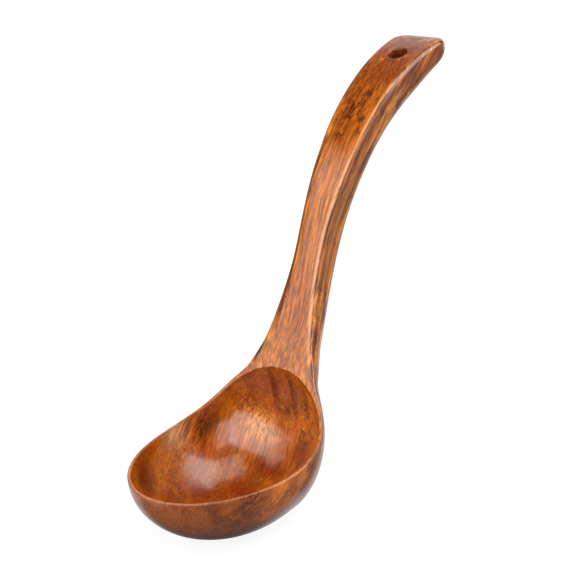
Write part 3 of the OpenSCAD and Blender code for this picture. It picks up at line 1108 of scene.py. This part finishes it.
    # Paler marks, with a painted highlight along the stem's right edge, and darker marks, with
    # painted shade inside the hole
    colour = g.layers(colour, [
        (paler_and_ridge_highlight, g.span(hair, 0.35, 0.60, 0.35, 0.9), PALE_AND_RIDGE_HIGHLIGHT),
        (darker_and_hole_shade, g.span(streak, 0.30, 0.55, 0.95, 0.45), BROWN),
    ])
    colour = g.mix(g.spots(place, PITS), colour, PIT)
    # The lacquer lies thicker in the hollow, so its colour is deeper there
    colour = g.mix(in_hollow, colour, g.vector("MULTIPLY", colour, THICK_LACQUER))

    # Gloss and relief: fine grain that the lacquer doesn't fill, and the waves of hand work
    wave = g.noise(place, 0.11, 0.07, 2.0, 0.5)
    relief = g.times_add(fibre, FIBRE_RELIEF, g.times(wave, WAVE_RELIEF))
    bump = g.nodes.new("ShaderNodeBump")
    bump.inputs["Strength"].default_value = 1.0
    bump.inputs["Distance"].default_value = 1.0
    g.put(bump.inputs["Height"], g.times_add(holes, PORE_RELIEF, relief))
    g.put(shader.inputs["Base Color"], colour)
    g.put(shader.inputs["Roughness"], g.times_add(fibre, FIBRE_ROUGH, SMOOTH))
    g.put(shader.inputs["Normal"], bump.outputs["Normal"])
    shader.inputs["Specular IOR Level"].default_value = SPECULAR
    return mat


wood = lacquered_wood()
for obj in (bowl, handle):
    obj.data.materials.append(wood)

# The camera, fitted to the photograph: its angles, its distance from the point it looks at and
# its offset from there in millimetres, and its focal length in pixels of the photograph
AZ, EL, ROLL = math.radians(41.41), math.radians(20.18), math.radians(-3.56)
LOOKS_AT = Vector((0, 100, 90)) + Vector(SHIFT)
DISTANCE, OFFSET_X, OFFSET_Y = 612.45, 2.394, 27.20
FOCAL, PIXELS, SENSOR = 1400.0, 573, 36.0
NEAREST, FARTHEST = 0.01, 20.0

scene = bpy.context.scene
back = Vector((math.sin(AZ) * math.cos(EL), -math.cos(AZ) * math.cos(EL), math.sin(EL)))
level = Vector((math.cos(AZ), math.sin(AZ), 0))
upright = back.cross(level)
right = math.cos(ROLL) * level + math.sin(ROLL) * upright
up = -math.sin(ROLL) * level + math.cos(ROLL) * upright
camera = bpy.data.objects.new("camera", bpy.data.cameras.new("camera"))
camera.data.sensor_width = SENSOR
camera.data.lens = FOCAL / PIXELS * SENSOR
camera.data.clip_start, camera.data.clip_end = NEAREST, FARTHEST
pose = Matrix((right, up, back)).transposed().to_4x4()
pose.translation = (LOOKS_AT + back * DISTANCE - right * OFFSET_X - up * OFFSET_Y) * MM
camera.matrix_world = pose
scene.collection.objects.link(camera)
scene.camera = camera

# Light, backdrop and floor
scene.view_settings.view_transform = "Standard"
CENTRE = Vector((0.0, -0.01, 0.075))
# Azimuth and elevation in degrees, then distance, width and height in metres, and radiance
SOFTBOXES = (
    ("softbox_front", 175, 27, 1.2, 1.60, 1.25, 2.8),
    ("softbox_right", 129, 31, 1.3, 0.70, 0.90, 2.0),
    ("softbox_left", 229, 39, 1.3, 0.28, 0.50, 1.8),
    ("softbox_left_low", 217, 13, 1.3, 0.44, 0.72, 1.4),
    ("softbox_top", 46, 43, 1.2, 0.88, 1.45, 3.3),
    ("softbox_over", 128, 81, 1.2, 0.72, 0.62, 1.8),
    ("softbox_halo", 57, 40, 1.4, 1.10, 1.90, 0.3),
    ("softbox_low", 62, 8, 1.3, 0.72, 0.46, 2.5),
)
BEHIND, BACKDROP_UP = -41, 5  # azimuth and elevation of the backdrop's middle
DIM = 0.25  # strength of the world for the light that it casts
FLOOR_RADIUS, FLOOR_SIDES, FLOOR_GREY = 4.0, 96, 0.17
FLOOR_MIDDLE = (0.0, -0.04, 0.0)
# Ranges and the strengths at their ends. The first three go by the cosine from a direction.
BACKDROP = (0.76, 0.90, 0.04, 0.85)
RUN_UP = (0.45, 0.80, 0.02, 0.60)
NARROW, NARROW_AT = (0.93, 0.98), (62, 198)  # with the azimuths of the two directions
# The rest go by metres: from the floor's middle, towards the backdrop, and along +X
WHITE_FROM = (0.15, 0.60, 0.87, 1.0)
NARROW_FROM, CLOSE_UP_TO = (0.08, 0.15), (0.16, 0.10)
CLOSE, CLOSE_ASIDE = (-0.066, -0.048, 0.0, 0.6), (0.043, 0.030)


def toward(azimuth, elevation):
    """Unit direction; azimuth 0 is +Y and 90 is +X, in degrees."""
    a, e = math.radians(azimuth), math.radians(elevation)
    return Vector((math.sin(a) * math.cos(e), math.cos(a) * math.cos(e), math.sin(e)))


def softbox(name, azimuth, elevation, distance, width, height, radiance):
    light = bpy.data.lights.new(name, "AREA")
    light.shape = "RECTANGLE"
    light.size, light.size_y = width, height
    light.energy = radiance * math.pi * width * height
    obj = bpy.data.objects.new(name, light)
    d = toward(azimuth, elevation)
    side = Vector((0, 0, 1)).cross(d).normalized()
    m = Matrix((side, d.cross(side), d)).transposed().to_4x4()
    m.translation = CENTRE + d * distance
    obj.matrix_world = m
    scene.collection.objects.link(obj)


def studio_world():
    """White for the camera. In the gloss, it is pale behind the ladle and dim elsewhere."""
    world = bpy.data.worlds.new("studio")
    g = Graph(world)
    shader = g.nodes["Background"]
    shader.inputs["Color"].default_value = (1, 1, 1, 1)
    camera_ray, seen = g.seen()
    ahead = g.vector("DOT_PRODUCT", g.coordinates("Generated"), toward(BEHIND, BACKDROP_UP))
    backdrop = g.span(ahead, *BACKDROP)
    shown = g.span(camera_ray, 0.0, 1.0, backdrop, 1.0, False)
    g.put(shader.inputs["Strength"], g.span(seen, 0.0, 1.0, DIM, shown, False))
    return world


def pale_floor():
    """White further off for the camera, and pale in some directions in the gloss."""
    mat = bpy.data.materials.new("pale_floor")
    g = Graph(mat)
    shader = g.nodes["Principled BSDF"]
    shader.inputs["Base Color"].default_value = (FLOOR_GREY, FLOOR_GREY, FLOOR_GREY, 1)
    shader.inputs["Roughness"].default_value = 1.0
    shader.inputs["Specular IOR Level"].default_value = 0.0
    shader.inputs["Emission Color"].default_value = (1, 1, 1, 1)
    camera_ray, seen = g.seen()
    where = g.coordinates("Object")
    away = g.vector("DISTANCE", where, FLOOR_MIDDLE)
    heading = g.vector("NORMALIZE", where)
    white = g.span(away, *WHITE_FROM)
    # Pale where it runs up to the backdrop, in two narrow directions, and close behind the ladle
    run_up = g.span(g.vector("DOT_PRODUCT", heading, toward(BEHIND, 0)), *RUN_UP)
    narrow = g.most(*[g.vector("DOT_PRODUCT", heading, toward(a, 0)) for a in NARROW_AT])
    narrow = g.times(g.span(narrow, *NARROW), g.span(away, *NARROW_FROM))
    close = g.span(g.vector("DOT_PRODUCT", where, toward(BEHIND, 0)), *CLOSE)
    close = g.times(close, g.span(g.split(where)[0], *CLOSE_ASIDE))
    close = g.times(close, g.span(away, *CLOSE_UP_TO))
    glow = g.most(run_up, narrow, close)
    shown = g.span(camera_ray, 0.0, 1.0, glow, white, False)
    g.put(shader.inputs["Emission Strength"], g.times(seen, shown))
    return mat


for light in SOFTBOXES:
    softbox(*light)
scene.world = studio_world()

floor_mesh = bpy.data.meshes.new("floor")
disc = bmesh.new()
bmesh.ops.create_circle(disc, cap_ends=True, segments=FLOOR_SIDES, radius=FLOOR_RADIUS)
disc.to_mesh(floor_mesh)
disc.free()
floor_mesh.materials.append(pale_floor())
floor = bpy.data.objects.new("floor", floor_mesh)
scene.collection.objects.link(floor)
